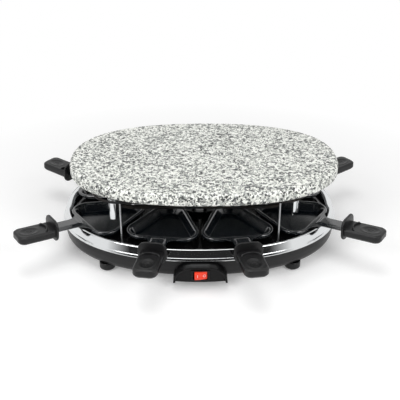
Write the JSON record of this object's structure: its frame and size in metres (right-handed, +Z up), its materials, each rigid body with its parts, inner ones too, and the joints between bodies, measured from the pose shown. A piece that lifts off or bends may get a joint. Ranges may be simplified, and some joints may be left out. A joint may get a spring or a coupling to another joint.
{
  "type": "raclette grill",
  "caption": "Oval tabletop raclette grill: a speckled granite slab over a heating element, with a ring of lift-out pans in a chromed black base and a rocker switch.",
  "frame": {"origin": "middle of the footprint, on the plane that the rubber pads stand on", "axes": "+X to the right and -Y toward the user and the switch, +Z up"},
  "size_m": [0.5504, 0.4626, 0.135],
  "materials": {
    "granite": "polished speckled granite",
    "chrome": "mirror polished",
    "steel": "plain drawn steel",
    "black_plastic": "fine matte black",
    "black_enamel": "glossy black enamel",
    "nonstick": "satin black non-stick coating",
    "rubber": "dull black rubber",
    "red_plastic": "glossy translucent red",
    "ceramic": "unglazed ceramic",
    "heater_steel": "heat-darkened steel",
    "lead_brown": "plain insulation",
    "lead_blue": "plain insulation",
    "lead_white": "plain insulation"
  },
  "bodies": {
    "base": {"lower_shell": "black_plastic", "inner_tray": "black_enamel", "trim_ring": "chrome", "hub_pedestal": "black_enamel", "hub_dish": "black_enamel", "rack_frame": "steel", "heating_element": "heater_steel", "element_clip_left": "steel", "element_clip_right": "steel", "terminal_block": "ceramic", "terminal_tab_left": "steel", "terminal_tab_right": "steel", "control_housing": "black_plastic", "switch_body": "black_plastic", "cord_inlet": "black_plastic", "lead_inlet_to_block": "lead_brown", "lead_inlet_to_switch": "lead_blue", "lead_switch_to_block": "lead_white", "foot_front_left": "black_plastic", "foot_pad_front_left": "rubber", "screw_front_left": "steel", "nut_front_left": "steel", "foot_front_right": "black_plastic", "foot_pad_front_right": "rubber", "screw_front_right": "steel", "nut_front_right": "steel", "foot_rear_right": "black_plastic", "foot_pad_rear_right": "rubber", "screw_rear_right": "steel", "nut_rear_right": "steel", "foot_rear_left": "black_plastic", "foot_pad_rear_left": "rubber", "screw_rear_left": "steel", "nut_rear_left": "steel"},
    "slab": {"granite_slab": "granite", "slab_post_front_left": "chrome", "slab_post_front_right": "chrome", "slab_post_rear_right": "chrome", "slab_post_rear_left": "chrome"},
    "rocker": {"switch_rocker": "red_plastic"},
    "front_left_pan": {"pan_front_left": "nonstick", "handle_front_left": "black_plastic"},
    "left_side_front_pan": {"pan_left_side_front": "nonstick", "handle_left_side_front": "black_plastic"},
    "front_right_pan": {"pan_front_right": "nonstick", "handle_front_right": "black_plastic"},
    "right_side_front_pan": {"pan_right_side_front": "nonstick", "handle_right_side_front": "black_plastic"},
    "rear_left_pan": {"pan_rear_left": "nonstick", "handle_rear_left": "black_plastic"},
    "left_side_rear_pan": {"pan_left_side_rear": "nonstick", "handle_left_side_rear": "black_plastic"},
    "rear_right_pan": {"pan_rear_right": "nonstick", "handle_rear_right": "black_plastic"},
    "right_side_rear_pan": {"pan_right_side_rear": "nonstick", "handle_right_side_rear": "black_plastic"}
  },
  "joints": [
    {"name": "slab_lift", "type": "slide", "parent": "base", "child": "slab", "axis": [0, 0, 1], "range_m": [0, 0.15]},
    {"name": "switch_rock", "type": "hinge", "parent": "base", "child": "rocker", "pos_m": [0, -0.1703, 0.0247], "axis": [0, 0, -1], "range_deg": [0, 20]},
    {"name": "front_left_pan_draw", "type": "slide", "parent": "base", "child": "front_left_pan", "axis": [0, -0.891, 0.454], "range_m": [0, 0.075]},
    {"name": "left_side_front_pan_draw", "type": "slide", "parent": "base", "child": "left_side_front_pan", "axis": [-0.7912, -0.212, 0.5736], "range_m": [0, 0.075]},
    {"name": "front_right_pan_draw", "type": "slide", "parent": "base", "child": "front_right_pan", "axis": [0, -0.891, 0.454], "range_m": [0, 0.075]},
    {"name": "right_side_front_pan_draw", "type": "slide", "parent": "base", "child": "right_side_front_pan", "axis": [0.7912, -0.212, 0.5736], "range_m": [0, 0.075]},
    {"name": "rear_left_pan_draw", "type": "slide", "parent": "base", "child": "rear_left_pan", "axis": [0, 0.891, 0.454], "range_m": [0, 0.075]},
    {"name": "left_side_rear_pan_draw", "type": "slide", "parent": "base", "child": "left_side_rear_pan", "axis": [-0.7912, 0.212, 0.5736], "range_m": [0, 0.075]},
    {"name": "rear_right_pan_draw", "type": "slide", "parent": "base", "child": "rear_right_pan", "axis": [0, 0.891, 0.454], "range_m": [0, 0.075]},
    {"name": "right_side_rear_pan_draw", "type": "slide", "parent": "base", "child": "right_side_rear_pan", "axis": [0.7912, 0.212, 0.5736], "range_m": [0, 0.075]}
  ]
}
